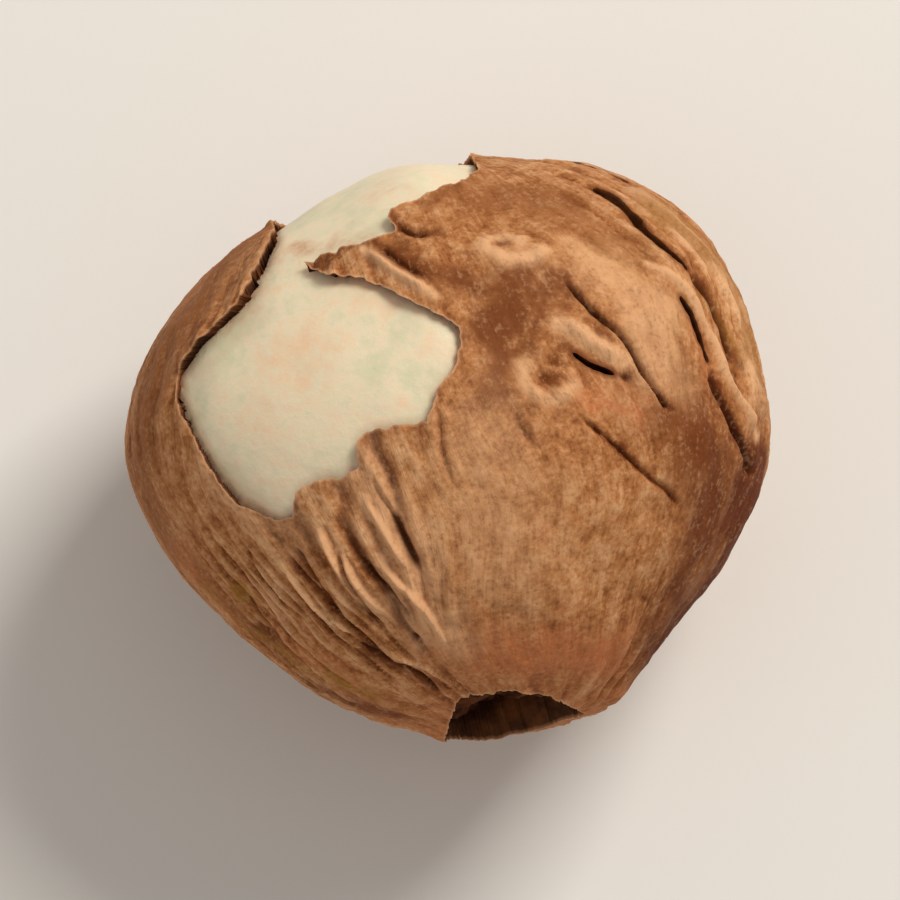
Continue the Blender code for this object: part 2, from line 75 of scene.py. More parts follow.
# the skin: wrinkles from the blunt end to the tip, and the folds that the eye picks out. A noise is
# given by its share or height and its scale, and a place along the kernel in degrees from its ends
skin = dict(
    thickness=0.09 * mm, overFlesh=0.2 * mm, thinnest=0.01 * mm,
    columns=104, wander=(0.16, 1.6), wiggle=(0.04, 6), closeWiggle=0.6,
    columnApart=1.7, crestRun=30, crestSlice=5, crestStrength=0.65, crestRoundness=0.4,
    fine=0.02 * mm, deep=0.13 * mm,  # heights of the weakest and of the strongest wrinkle
    strength=0.35, strengthNoise=(0.9, 2.3), collar=(0.5, 28, 12),
    allFrom=33, halfFrom=11, joinOver=6, closeFrom=38, closeOver=12,
    crestShare=0.75, crestLost=0.3, closeShare=0.7, narrowAt=0.45, narrowest=0.2,
    fibreRun=0.28, hairline=0.055 * mm, hairlineShare=(0.12, 0.9),
    hairlines=(0.55, (2.2, 12), (1.1, 25)),  # level, and what the two noises take off it
    threads=0.018 * mm, threadNoise=(34, 0.6, 61),
    mottle=0.022 * mm, mottleNoise=(17, 0.7, 31), grain=(0.011 * mm, 60),
    lineShade=1.2, shadeHeight=0.05 * mm,
    wrinkled=(  # x, y, reach, strength
        (-3.3, -3.6, 2.6, 1), (-0.9, -3, 1.3, 0.6), (5.4, 2.6, 1.2, 0.3), (2.2, -1.9, 2.6, -0.9),
        (-0.8, 4.4, 1.6, -0.8), (1.4, 3.4, 1.6, -0.6), (4, 3.2, 1, -0.8), (-6.2, 0.5, 1.6, -0.3),
        (2.7, -4.3, 1.5, -0.6),
    ),
    blisters=(  # x, y, reach, height in mm
        (0.75, 4.55, 0.16, 0.1), (1, 4.25, 0.17, 0.09), (1.45, 4.12, 0.18, 0.09),
        (1.15, 4.6, 0.14, -0.09), (1.55, 4.65, 0.15, 0.08), (2, 4.3, 0.24, 0.1),
        (2.35, 4.1, 0.16, 0.06), (2.15, 1.55, 0.16, -0.09), (1.75, 1.85, 0.17, 0.08),
        (1.9, 1.25, 0.16, 0.07), (2.5, 1.25, 0.2, 0.08), (2.6, 2.75, 0.14, 0.06),
        (3, 2.35, 0.13, 0.06), (3.45, 2.15, 0.13, 0.06), (1.75, 0.85, 0.13, -0.04),
        (-1, -0.4, 0.11, -0.06), (-1.25, -0.2, 0.14, 0.03), (0.1, -3.95, 0.13, -0.07),
        (-0.75, -4.15, 0.14, -0.06), (3, -2, 0.12, -0.04), (3.7, -1.2, 0.15, 0.03),
        (1.3, -3.3, 0.16, 0.03),
    ),
    pitted=(
        (6, 3.6, 0.5, 2.5), (6.5, 2.4, 0.6, 2.5), (6.8, 1.2, 0.5, 1.8), (2.2, 1.6, 0.6, 2.2),
        (4, 3.2, 1.2, 0.9), (5.3, 5, 0.7, 2.2), (3.1, 2.4, 0.5, 2.8), (1.4, 4.4, 0.6, 2.2),
    ),
    folds=(  # height, lip, width in mm, then points; the lip is on the left
        (-0.22, 0.08, 0.09, (5.35, 4), (5.75, 3.5), (6.05, 2.9), (6.3, 2.3), (6.45, 1.8)),
        (-0.12, 0, 0.08, (6.1, 3.9), (6.45, 3.1), (6.7, 2.3), (6.85, 1.6)),
        (-0.1, 0, 0.07, (5, 5.25), (5.6, 4.75), (6, 4.2)),
        (-0.24, 0.06, 0.11, (5.85, 1.9), (6, 1.35), (6.35, 0.65), (6.65, 0.05), (6.85, -0.7)),
        (-0.15, 0.13, 0.05, (2.45, 3.95), (2.85, 3.4), (3.3, 2.9), (3.85, 2.4), (4.25, 1.75),
         (4.8, 1), (5.1, 0.75)),
        (-0.1, 0.03, 0.07, (2.7, 0.9), (3, 0.6), (3.7, 0.05), (4.3, -0.5), (4.9, -0.95),
         (5.2, -1.4)),
        (-0.08, 0.02, 0.07, (-0.27, 1.23), (-0.2, 0.3), (-0.15, -0.14), (0.14, -1.01)),
        (-0.07, 0.02, 0.07, (1.39, 1.23), (1.56, 0.51), (1.97, -0.02)),
        (-0.12, 0.04, 0.08, (-1.85, -0.5), (-1.4, -1.3), (-0.95, -2.1), (-0.6, -2.8)),
        (-0.11, 0.03, 0.07, (-2.53, -2.1), (-2.3, -2.8), (-1.85, -3.5), (-1.3, -4)),
        (-0.11, 0.03, 0.07, (-2.05, -2.2), (-1.7, -2.75), (-1.23, -3.25), (-0.75, -3.95)),
        (-0.1, 0.03, 0.07, (-4.7, -2), (-4.3, -2.7), (-3.73, -3.32), (-3, -3.9)),
        (-0.1, 0.03, 0.07, (-3.6, -2), (-3, -2.9), (-2.3, -3.7)),
        (-0.2, 0.08, 0.1, (-2.1, -4.15), (-1.4, -4.65), (-0.65, -5.05), (-0.2, -5.6)),
        (-0.12, 0.04, 0.12, (-4.4, -3.85), (-3.85, -4.15)),
        (0.15, 0, 0.1, (-2, -0.9), (-1.78, -1.35), (-1.5, -1.8), (-1.25, -2.15), (-0.9, -2.7)),
        (0.14, 0, 0.08, (-2.5, -2.2), (-2.15, -2.8), (-1.75, -3.3), (-1.3, -3.75)),
        (0.16, 0, 0.09, (-1.55, -2.45), (-1.15, -2.95), (-0.65, -3.4), (-0.35, -3.85),
         (-0.05, -4.45)),
        (0.12, 0, 0.08, (-3, -1.6), (-2.75, -2.2), (-2.4, -2.8), (-1.9, -3.5)),
        (0.12, 0, 0.08, (-3.9, -2.3), (-3.4, -3), (-2.8, -3.6), (-2, -4.1)),
        (0.12, 0, 0.09, (-1.5, -4.35), (-1, -4.6), (-0.5, -4.85), (-0.2, -5.2)),
        (0.16, 0, 0.12, (-1.95, 4.5), (-1.4, 4.1), (-0.85, 3.7), (-0.35, 3.4)),
        (-0.16, 0, 0.09, (-1.7, 4.65), (-1, 4.15), (-0.4, 3.75)),
        (-0.18, 0, 0.09, (-1.3, 5.25), (-1.1, 5), (-0.75, 4.85), (-0.25, 4.9)),
        (0.18, 0, 0.42, (3.9, 5.9), (4.7, 5.35), (5.5, 4.6), (6.1, 3.7), (6.55, 2.7), (6.85, 1.6),
         (7.05, 0.6)),
        (0.13, 0, 0.13, (4.4, 4.15), (5, 3.75), (5.55, 3.15), (5.95, 2.4), (6.2, 1.7), (6.6, 1),
         (6.9, 0.3)),
        (0.17, 0, 0.18, (2.35, 2.8), (2.8, 2.6), (3.3, 2.25), (3.9, 1.9)),
        (-0.14, 0, 0.09, (3.5, 1.7), (3.9, 1.6), (4.3, 1.55)),
        (-0.08, 0, 0.14, (1.75, 1.45), (2.15, 1.6), (2.3, 1.75)),
    ),
    farFolds=(  # the same, in bearing and degrees from the line of sight
        (-0.3, 0.14, 0.14, (222, 96), (214, 112), (203, 126), (186, 138)),
        (-0.26, 0.1, 0.13, (62, 104), (52, 120), (36, 133)),
        (-0.24, 0.1, 0.12, (132, 118), (140, 132), (158, 146)),
        (-0.22, 0.1, 0.12, (300, 112), (312, 128), (330, 142)),
    ),
    foldEnd=0.6 * mm, foldReach=2.5 * mm, ridgePower=2, groovePower=1.4,
    lipReach=0.5 * mm, lipBehind=0.2,
)

# where the skin is torn: bare flesh, open slits and the hollow in the blunt end
tears = dict(
    bareSeen=(
        (0.63, 6.29), (0.19, 5.97), (-0.68, 5.64), (-1.33, 5.37), (-1.39, 5.2), (-1.23, 4.92),
        (-1.66, 4.72), (-2.75, 4.39), (-3.3, 4.22), (-2.75, 3.9), (-1.93, 3.86), (-1.23, 3.52),
        (-0.68, 3.21), (-0.14, 2.98), (0.19, 2.75), (0.24, 2.31), (0.09, 1.83), (-0.31, 1.33),
        (-0.36, 1.06), (-0.51, 0.62), (-1.11, 0.56), (-1.88, 0.41), (-2.07, 0.19), (-2.1, -0.43),
        (-2.43, -0.63), (-3.03, -0.7), (-3.44, -0.96), (-3.52, -1.5), (-3.95, -1.57),
        (-4.39, -1.35), (-4.72, -1.18), (-5.15, -0.68), (-5.47, -0.14), (-5.81, 0.56),
        (-6.09, 1.23), (-6.1, 1.66), (-5.75, 2.15), (-5.15, 2.8), (-4.6, 3.4), (-4.39, 3.85),
        (-4.17, 4.28), (-3.9, 4.85),
    ),
    bareFar=(
        (126, 106), (116, 116), (106, 112), (99, 115), (92, 110), (87, 102),
    ),
    chip=(
        (8, 118), (14, 123), (11, 130), (16, 137), (8, 143), (-3, 139), (-6, 129), (0, 124),
    ),
    slits=(  # half width and depth in mm, then points
        (0.22, 0.5, (3.2, 5.86), (3.6, 5.64), (4, 5.3), (4.5, 4.82), (4.95, 4.4), (5.34, 4.02)),
        (0.12, 0.4, (5.08, 3.42), (5.38, 2.98), (5.62, 2.48), (5.82, 1.95)),
        (0.09, 0.35, (2.75, 6.45), (3.35, 6.32), (4.05, 6.03)),
        (0.08, 0.28, (2.68, 2.14), (3, 1.9), (3.3, 1.78), (3.6, 1.64)),
    ),
    hollowSeen=(
        (0.05, -6.05), (0.15, -5.75), (0.75, -5.5), (1.45, -5.42), (2.15, -5.55), (2.75, -5.75),
        (3.05, -5.95),
    ),
    hollowFar=(
        (-63, 85), (-65.5, 90), (-71, 94), (-77, 96.5), (-84, 95), (-89, 91), (-91, 85.5),
    ),
    hollowStep=0.55 * mm, hollowAngle=17, hollowDepth=1.0 * mm, hollowRough=0.16 * mm,
    hollowNoise=(14, 0.7, 37), hollowCracks=(1.5, 9),
    fleshNoise=((0.024 * mm, 7), (0.008 * mm, 30)),
    rimHeight=0.10 * mm, rimWidth=4, rimNoise=(1.5, 6),
    farStep=0.3 * mm, slitStep=0.1 * mm, slitNoise=(0.15, 7), slitTaper=0.4,
    raggedness=0.09, raggedStep=0.12 * mm, raggedNoise=(3.1, 0.6, 2.7),
    liftedEdge=(0.12, (-6.2, 1.7), (-5.2, 2.85), (-4.65, 3.45), (-3.9, 5)),
    curlReach=2 * mm, lift=0.05 * mm, liftReach=0.3 * mm, liftFrom=22, liftOver=8,
    # the last value is the share of painted shade on the walls under torn skin
    liftNoise=(0.6, 1.6, 9), under=0.16 * mm, slitUnder=0.3, lowerShare=0.3, wallShade=0.9,
)

# tints of the skin, and last of the flesh: share and reach in mm, then the points of a stroke. Most
# are the own colour of skin and flesh; strokes marked below also paint shade or highlight
tints = dict(
    dark=(
        (1, 0.38, (-3, 4.25), (-1.6, 4.35), (-0.4, 3.85), (0.8, 3.65), (1.7, 3.8), (2.4, 3.5)),
        (1.2, 0.55, (1.4, 3.5), (1, 2.6), (1.1, 1.4)),
        (0.9, 0.4, (1.9, 3.3), (1.9, 2.5), (1.6, 1.9)),
        # painted shade along the lifted tip of the tongue of skin
        (1, 0.16, (-1.3, 5.25), (-1.1, 5), (-0.75, 4.85), (-0.25, 4.9)),
        (0.6, 0.16, (-0.5, 5.5), (0.2, 5.9)),
        (1, 0.12, (-1.7, 4.65), (-1, 4.15), (-0.4, 3.75)),
        (0.6, 0.3, (-2.1, -0.1), (-1.9, 0.3), (-1, 0.45)),
        (0.6, 0.25, (-3.4, -1.3), (-3, -2.2)),
        (0.9, 0.16, (-2.4, -1.6), (-2, -2.3), (-1.5, -3), (-0.9, -3.8)),
        (0.8, 0.14, (-1.5, -1.2), (-1.05, -2), (-0.6, -2.8), (-0.2, -3.4)),
        (0.9, 0.16, (5.5, 3.9), (5.9, 3.2), (6.3, 2.3), (6.5, 1.9)),
        (0.7, 0.12, (6.2, 3.7), (6.7, 2.3)),
        (1.1, 0.16, (-0.75, -4.1), (-0.6, -4.4)),
        (1.1, 0.13, (0.05, -3.9), (0.12, -4)),
        (1, 0.13, (1.1, 4.62), (1.22, 4.55)),
        (0.9, 0.15, (2.1, 1.6), (2.25, 1.5)),
        # painted shade beneath the raised flap
        (0.9, 0.13, (2.55, 2.3), (3, 2), (3.4, 1.75), (4.1, 1.55)),
        (0.9, 0.2, (-4.3, -3.95), (-3.9, -4.25)),
        (0.8, 0.16, (-1.9, -4.5), (-0.9, -4.95), (-0.3, -5.4)),
        # partly the skin's darker brown, partly painted shade along the lower left edge
        (0.9, 0.3, (-5, -4.2), (-3.6, -5.3), (-2.2, -6)),
        (0.6, 0.2, (4.5, 0.9), (5.3, 0.6)),
    ),
    # pale: the skin's lighter tan; along ridges and lumps partly painted highlight
    pale=(
        (0.8, 0.8, (3.3, 4.1), (4.2, 3.2), (4.7, 2)),
        (0.5, 0.16, (4, 5.75), (5.3, 4.85), (6.25, 3.6), (6.85, 1.9)),
        (1.1, 0.14, (4.4, 4.15), (5, 3.75), (5.55, 3.15), (5.95, 2.4), (6.2, 1.7), (6.6, 1),
         (6.9, 0.3)),
        (1.5, 0.2, (2.4, 2.8), (3.1, 2.4), (3.85, 1.95)),
        (1.3, 0.2, (0.7, 4.5), (1.3, 4.2), (2, 4.3)),
        (1.1, 0.12, (0.8, 4.65), (1.3, 4.75), (1.6, 4.5)),
        (1, 0.18, (1.6, 1.9), (1.75, 1.3), (2.3, 1.1), (2.7, 1.4)),
        # along ridges: partly lighter veins of the skin, partly painted highlight
        (1.3, 0.13, (-1.95, 4.5), (-1.4, 4.1), (-0.85, 3.7), (-0.35, 3.4)),
        (1.5, 0.16, (-1.95, -1.1), (-1.75, -1.5)),
        (1.5, 0.15, (-1.35, -2), (-1.15, -2.3)),
        (1.2, 0.11, (-2, -1), (-1.3, -2), (-1, -2.5)),
        (1.3, 0.12, (-1.55, -2.5), (-1.1, -2.95), (-0.6, -3.45), (-0.3, -3.9), (-0.05, -4.4)),
        (1, 0.1, (-2.5, -2.2), (-1.75, -3.3), (-1.3, -3.75)),
        (0.8, 0.12, (-3, -1.6), (-2.4, -2.8), (-1.9, -3.5)),
        (0.8, 0.2, (-4.1, -3.3), (-3.7, -3.7)),
        # painted highlight along the lower left rim
        (0.6, 0.28, (-4.3, -4.5), (-3.4, -5.2), (-2.4, -5.7)),
        (0.9, 0.1, (0.3, -5.62), (1.4, -5.5), (2.6, -5.72)),
        (0.9, 0.12, (-5.5, -0.3), (-5, -1.1), (-4.3, -1.6)),
        (0.5, 1.3, (0.6, 0), (1.2, -2.4)),
        (0.8, 0.75, (-1.9, -0.6), (-1.2, -2), (-0.6, -3.4), (-0.2, -4.3)),
        (0.4, 0.6, (-5.3, -0.2), (-4.6, -1.5), (-3.4, -2)),
    ),
    dusty=(
        (1, 1.1, (-4.4, 5.2), (-6, 3), (-6.9, 0.6), (-6.4, -2)),
        (0.9, 0.9, (-5.4, -3), (-4, -4.4)),
        (1, 0.9, (0.4, 5.7), (1.5, 5.7), (2.6, 5.5)),
        (0.8, 0.6, (3.2, 5.1), (4.1, 4.5)),
        (0.9, 0.55, (4.2, 5.7), (5.6, 4.7), (6.6, 3.2), (7, 1.2)),
        (0.5, 0.8, (4.6, 2.6), (4.9, 1.6)),
    ),
    rust=(
        (0.9, 0.9, (0.2, -4.5), (2, -4.6), (3.6, -4.5)),
        (0.7, 0.16, (4.9, 3.4), (5.5, 2.6), (5.8, 1.6)),
        (0.6, 0.5, (-5.9, 3.6), (-4.4, 5.1)),
        (0.8, 0.35, (2.9, 1.2), (4, 1)),
        (0.8, 0.5, (-6.2, -2.2), (-4.9, -3.6)),
        (0.5, 0.4, (-3.6, -4.2), (-2, -5.2)),
    ),
    red=(
        # these two: partly the skin's own dark red, partly painted shade along the right edge
        (0.9, 1.2, (5.3, 0.7), (5.9, -1.4), (5.1, -3.4), (4.4, -4.8)),
        (1.6, 1.3, (6.9, -0.6), (6.2, -2.4), (5, -4.6)),
        (0.9, 0.22, (5.4, 1), (5.9, 0.2), (6.1, -0.6)),
        (0.7, 0.8, (-3.2, -5.2), (-1.4, -6)),
        (0.6, 0.25, (5.9, 1.6), (6.4, 0.4), (6.7, -0.6)),
    ),
    olive=(
        (0.8, 0.35, (-5.4, -3.2), (-4.6, -3.9), (-3.2, -4.9)),
        (1.5, 0.3, (-4.8, -3.1), (-4.55, -3.35)),
        (1.5, 0.3, (-2.5, -5.1), (-1.9, -5.3)),
        (0.9, 0.16, (6.35, 3.5), (6.6, 2.6)),
        (0.7, 0.32, (4.6, 5.4), (5.9, 4.3), (6.6, 3), (6.95, 1.6)),
        (0.6, 0.35, (4.75, 2.7), (4.95, 1.8)),
        (0.8, 0.18, (5.6, 3.6), (6.2, 2.7), (6.5, 2)),
        (0.5, 0.8, (3.6, 4.2), (4.6, 3)),
    ),
    stained=(
        # stains on the flesh, and near its left edge painted shade
        (0.7, 0.5, (-3.7, 4.6), (-2.9, 4.75), (-2, 4.95)), (0.3, 0.4, (-5.4, 2), (-4.5, 3.1)),
        (0.3, 0.35, (-5, -0.5), (-4.3, -1.1)), (0.25, 0.4, (-1.4, 6.1), (-0.6, 5.9)),
    ),
)
tintWander = ((8, 0.35), (24, 0.14))  # how often a tint's edge wanders, and how far in mm
tintNarrow = 0.25  # strokes up to this reach don't wander
lineStep, closeBy = 0.25 * mm, 0.5 * mm  # along a line, and round the points pulled on to it
spotsAtOnce = 4000


def unit(vectors):
    return vectors / np.linalg.norm(vectors, axis=-1, keepdims=True)


def smooth(value):
    value = np.clip(value, 0, 1)
    return value * value * (3 - 2 * value)


def noiseAt(points, scale=1.0, shift=(0.0, 0.0, 0.0)):
    return np.array([noise.noise(Vector(p)) for p in points * scale + np.array(shift)])


def weighed(points, share, scale, shift=(0.0, 0.0, 0.0)):
    return share * noiseAt(points, scale, shift)


def twoNoises(points, scale, share, finer, shift=(0.0, 0.0, 0.0)):  # a noise and a finer one on it
    return noiseAt(points, scale, shift) + weighed(points, share, finer)


def curveBetween(before, start, end, after, t):  # smooth from start to end, t from 0 to 1
    slope = 2 * before - 5 * start + 4 * end - after
    bend = 3 * (start - end) + after - before
    return start + 0.5 * t * ((end - before) + t * (slope + t * bend))


def outlineRadius(bearing):
    shares = np.array(body["outline"])
    place = np.mod(bearing, 2 * np.pi) / (2 * np.pi) * len(shares)
    index = np.floor(place).astype(int)
    four = (shares[(index + k) % len(shares)] for k in (-1, 0, 1, 2))
    return meanRadius * curveBetween(*four, place - index)


def bodyRadius(directions):
    right, up, near = directions.T
    across = np.hypot(right, up) / outlineRadius(np.arctan2(up, right))
    along = np.abs(near) / np.where(near > 0, body["above"], body["below"])
    return (across ** body["power"] + along ** body["power"]) ** (-1 / body["power"])


def seen(x, y):  # direction of the surface point that shows at x, y
    share = min(math.hypot(x, y) * mm / outlineRadius(math.atan2(y, x)), 0.999)
    near = body["above"] * (1 - share ** body["power"]) ** (1 / body["power"])
    return unit(np.array((x * mm, y * mm, near)))


def far(bearing, fromSight):
    bearing, fromSight = math.radians(bearing), math.radians(fromSight)
    across = math.sin(fromSight)
    return np.array((across * math.cos(bearing), across * math.sin(bearing), math.cos(fromSight)))


def chart(directions):  # flat map of the surface, middle at the line of sight
    right, up, near = np.atleast_2d(directions).T
    across = np.maximum(np.hypot(right, up), tiny)
    reach = meanRadius * np.arccos(np.clip(near, -1, 1)) / across
    return np.stack((right * reach, up * reach), axis=1)


def fromChart(points):
    reach = np.linalg.norm(points, axis=1)
    across = np.sin(reach / meanRadius) / np.maximum(reach, tiny)
    near = np.cos(reach / meanRadius)
    return np.stack((points[:, 0] * across, points[:, 1] * across, near), axis=1)


def toWorld(points):
    tip = math.radians(body["viewElevation"])
    right, up, near = points.T
    return np.stack((right, up * math.sin(tip) - near * math.cos(tip),
                     up * math.cos(tip) + near * math.sin(tip)), axis=1)


class Path:  # a line on the chart, open or closed
    def __init__(self, points, closed):
        self.points, self.closed = np.array(points), closed
        self.starts = self.points if closed else self.points[:-1]
        self.runs = (np.roll(self.points, -1, axis=0) if closed else self.points[1:]) - self.starts
        self.lengths = np.linalg.norm(self.runs, axis=1)
        self.before = np.concatenate(((0,), self.lengths.cumsum()))

    def measure(self, spots, reach):  # signed distance, nearest point, way to the nearer end
        away, nearest, toEnd = np.full(len(spots), farAway), spots.copy(), np.zeros(len(spots))
        low, high = self.points.min(axis=0) - reach, self.points.max(axis=0) + reach
        close = np.flatnonzero(((spots > low) & (spots < high)).all(axis=1))
        for block in np.array_split(close, max(1, len(close) // spotsAtOnce)):
            away[block], nearest[block], toEnd[block] = self.measureBlock(spots[block])
        return away, nearest, toEnd

    def measureBlock(self, spots):
        offsets = spots[:, None] - self.starts
        share = np.clip((offsets * self.runs).sum(axis=2) / self.lengths ** 2, 0, 1)
        nearest = self.starts + share[..., None] * self.runs
        apart = np.linalg.norm(spots[:, None] - nearest, axis=2)
        pick, row = apart.argmin(axis=1), np.arange(len(spots))
        if self.closed:
            rise = np.where(self.runs[:, 1] == 0, 1e-12, self.runs[:, 1])  # never quite level
            ray = offsets[..., 1] / rise
            crosses = (ray >= 0) & (ray < 1) & (self.runs[:, 0] * ray > offsets[..., 0])
            sign = np.where(crosses.sum(axis=1) % 2 == 1, -1, 1)
        else:
            run, offset = self.runs[pick], offsets[row, pick]
            side = run[:, 0] * offset[:, 1] - run[:, 1] * offset[:, 0]
            sign = np.where(side > 0, 1, -1)
        along = self.before[pick] + share[row, pick] * self.lengths[pick]
        toEnd = np.minimum(along, self.before[-1] - along)
        return sign * apart[row, pick], nearest[row, pick], toEnd


def ragged(points, seed):  # a torn line: each run is broken up and its points nudged
    made, total = [], 0.0
    scale, share, finer = tears["raggedNoise"]
    for start, end in zip(points, np.roll(points, -1, axis=0)):
        run = end - start
        length = np.linalg.norm(run)
        count = max(1, round(length / tears["raggedStep"]))
        aside = np.array((-run[1], run[0])) / length
        for k in range(count):
            spot = Vector(((total + k / count * length) / mm * scale, seed, 0.0))
            push = noise.noise(spot) + share * noise.noise(spot * finer)
            nudge = aside * push * tears["raggedness"] * mm * (k > 0)
            made.append(start + run * k / count + nudge)
        total += length
    return np.array(made)


def curveThrough(points, step):
    made, last = [], len(points) - 1
    for k in range(last):
        four = [points[min(max(k + j, 0), last)] for j in (-1, 0, 1, 2)]
        count = max(1, round(np.linalg.norm(four[2] - four[1]) / step))
        made += [curveBetween(*four, t) for t in np.arange(count) / count]
    return np.array(made + [points[last]])


def linePath(points, place=seen):
    spots = np.array([chart(place(*point))[0] for point in points])
    return Path(curveThrough(spots, lineStep), closed=False)


def slitPath(half, points, seed):  # a slit is widest in its middle and runs out at both ends
    share, scale = tears["slitNoise"]
    spots = curveThrough(np.array([chart(seen(*point))[0] for point in points]), tears["slitStep"])
    along = np.linspace(0, 1, len(spots))
    aside = np.gradient(spots, axis=0)[:, ::-1] * (-1, 1)
    aside /= np.linalg.norm(aside, axis=1, keepdims=True)
    rough = np.array([1 + share * noise.noise(Vector((scale * t, seed, 1.0))) for t in along])
    width = (half * mm * np.sin(np.pi * along) ** tears["slitTaper"] * rough)[:, None]
    sides = spots + aside * width, (spots - aside * width)[-2:0:-1]
    return Path(np.concatenate(sides), closed=True)


def tearPaths():  # kind, path and floor depth of each tear
    def outline(seenPoints, farPoints):
        front = [chart(seen(*point))[0] for point in seenPoints]
        back = front[-1:] + [chart(far(*point))[0] for point in farPoints]
        back.append(front[0] if front else back[0])
        return np.array(front[:-1] + list(curveThrough(back, tears["farStep"])[:-1]))
    found = []
    for kind, seenPoints, farPoints in (
            ("flesh", tears["bareSeen"], tears["bareFar"]), ("flesh", (), tears["chip"]),
            ("hollow", tears["hollowSeen"], tears["hollowFar"])):
        torn = ragged(outline(seenPoints, farPoints), len(found) + 1.0)
        found.append((kind, Path(torn, closed=True), 0.0))
    for half, depth, *points in tears["slits"]:
        found.append(("slit", slitPath(half, points, len(found) + 1.0), depth * mm))
    return found


def ball(cells, lean):  # an even ball of triangles, denser towards the viewer
    mesh = bmesh.new()
    bmesh.ops.create_cube(mesh, size=2)
    bmesh.ops.subdivide_edges(mesh, edges=mesh.edges[:], cuts=cells - 1, use_grid_fill=True)
    bmesh.ops.triangulate(mesh, faces=mesh.faces[:])
    corners = np.array([vert.co[:] for vert in mesh.verts])
    faces = np.array([[vert.index for vert in face.verts] for face in mesh.faces])
    mesh.free()
    return unit(unit(np.tan(corners * math.pi / 4)) + np.array((0, 0, lean))), faces


def sidesOf(faces, count):  # each side once, and which of them every triangle has
    pairs = np.sort(faces[:, (0, 1, 1, 2, 2, 0)].reshape(-1, 2), axis=1)
    keys, which = np.unique(pairs[:, 0] * count + pairs[:, 1], return_inverse=True)
    return np.stack((keys // count, keys % count), axis=1), which.reshape(-1, 3)


def refine(directions, faces, chosen):  # halves every side that has a chosen point at either end
    sides, which = sidesOf(faces, len(directions))
    split = chosen[sides].any(axis=1)
    middle = np.where(split, len(directions) + split.cumsum() - 1, -1)[which]
    directions = np.concatenate((directions, unit(directions[sides[split]].sum(axis=1))))
    halved = (middle >= 0).sum(axis=1)
    made = [faces[halved == 0]]
    for k in range(3):
        turn = [(k + j) % 3 for j in range(3)]
        one = (halved == 1) & (middle[:, k] >= 0)
        a, b, c = faces[one][:, turn].T
        m = middle[one, k]
        made += [np.stack((a, m, c), 1), np.stack((m, b, c), 1)]
        two = (halved == 2) & (middle[:, turn[2]] < 0)
        a, b, c = faces[two][:, turn].T
        m, n = middle[two][:, turn[:2]].T
        made += [np.stack((m, b, n), 1), np.stack((a, m, n), 1), np.stack((a, n, c), 1)]
    a, b, c = faces[halved == 3].T
    m, n, o = middle[halved == 3].T
    made += [np.stack(three, 1) for three in ((a, m, o), (m, b, n), (o, n, c), (m, n, o))]
    return directions, np.concatenate(made)


def distanceTo(paths, directions, reach):
    spots = chart(directions)
    return np.min([np.abs(path.measure(spots, reach)[0]) for path in paths], axis=0)


def pullTo(directions, sides, path):  # moves the points nearest the path on to it
    apart, nearest, toEnd = path.measure(chart(directions), closeBy)
    a, b = sides.T
    crossing = apart[a] * apart[b] < 0
    nearer = np.where(np.abs(apart[a]) < np.abs(apart[b]), a, b)[crossing]
    directions[nearer] = fromChart(nearest[nearer])
    apart[nearer] = 0
    return apart


def insideOf(directions, faces, apart, path):
    corner = apart[faces]
    inside = (corner < 0).any(axis=1)
    unsure = np.flatnonzero((corner == 0).all(axis=1))
    if len(unsure):
        middles = unit(directions[faces[unsure]].mean(axis=1))
        inside[unsure] = path.measure(chart(middles), closeBy)[0] < 0
    return inside


def baseFrame():  # the axis out of the blunt end, and two across it
    towards = body["baseTowardsViewer"]
    bearing = math.radians(body["baseBearing"])
    across = math.sqrt(1 - towards ** 2)
    axis = np.array((across * math.cos(bearing), across * math.sin(bearing), towards))
    side = unit(np.cross(axis, (0, 0, 1)))
    return axis, side, np.cross(side, axis)


def turnAndAngle(directions):  # place round that axis with the wander taken out
    axis, side, other = baseFrame()
    angle = np.arccos(np.clip(directions @ axis, -1, 1))
    turnSeen = np.arctan2(directions @ other, directions @ side)
    turn = turnSeen.copy()
    for step in range(3):  # each round comes closer
        still = np.stack((np.cos(turn), np.sin(turn), angle), axis=1)
        turn = turnSeen - weighed(still, *skin["wander"])
    return turn, angle


def fibreAt(turn, angle):  # noise on this is drawn out along the kernel
    return np.stack((np.cos(turn), np.sin(turn), skin["fibreRun"] * angle), axis=1)


def crests(turn, angle, columns):  # wrinkle crests and troughs on alternate columns
    place = np.mod(turn, 2 * np.pi) / (2 * np.pi) * columns
    low = np.floor(place).astype(int)
    level = np.degrees(angle) / skin["crestRun"]
    heights = []
    for column in (low % columns, (low + 1) % columns):
        third = np.full(len(turn), skin["crestSlice"])
        strength = noiseAt(np.stack((skin["columnApart"] * column, level, third), axis=1))
        strength = skin["crestStrength"] + strength
        heights.append(np.where(column % 2 == 1, strength, -strength))
    share = place - low
    share += skin["crestRoundness"] * ((1 - np.cos(np.pi * share)) / 2 - share)
    return heights[0] * (1 - share) + heights[1] * share


def areaSum(directions, areas):
    total = np.zeros(len(directions))
    for x, y, reach, amount in areas:
        apart = np.linalg.norm(directions - seen(x, y), axis=1) * meanRadius
        total += amount * np.exp(-(apart / (reach * mm)) ** 2)
    return total


def strokeSum(spots, wandered, strokes):  # a narrow stroke keeps to its ridge or groove
    total = np.zeros(len(spots))
    for share, reach, *points in strokes:
        places = wandered if reach > tintNarrow else spots
        apart = linePath(points).measure(places, 3 * reach * mm)[0]
        total = np.maximum(total, share * np.exp(-(apart / (reach * mm)) ** 2))
    return total


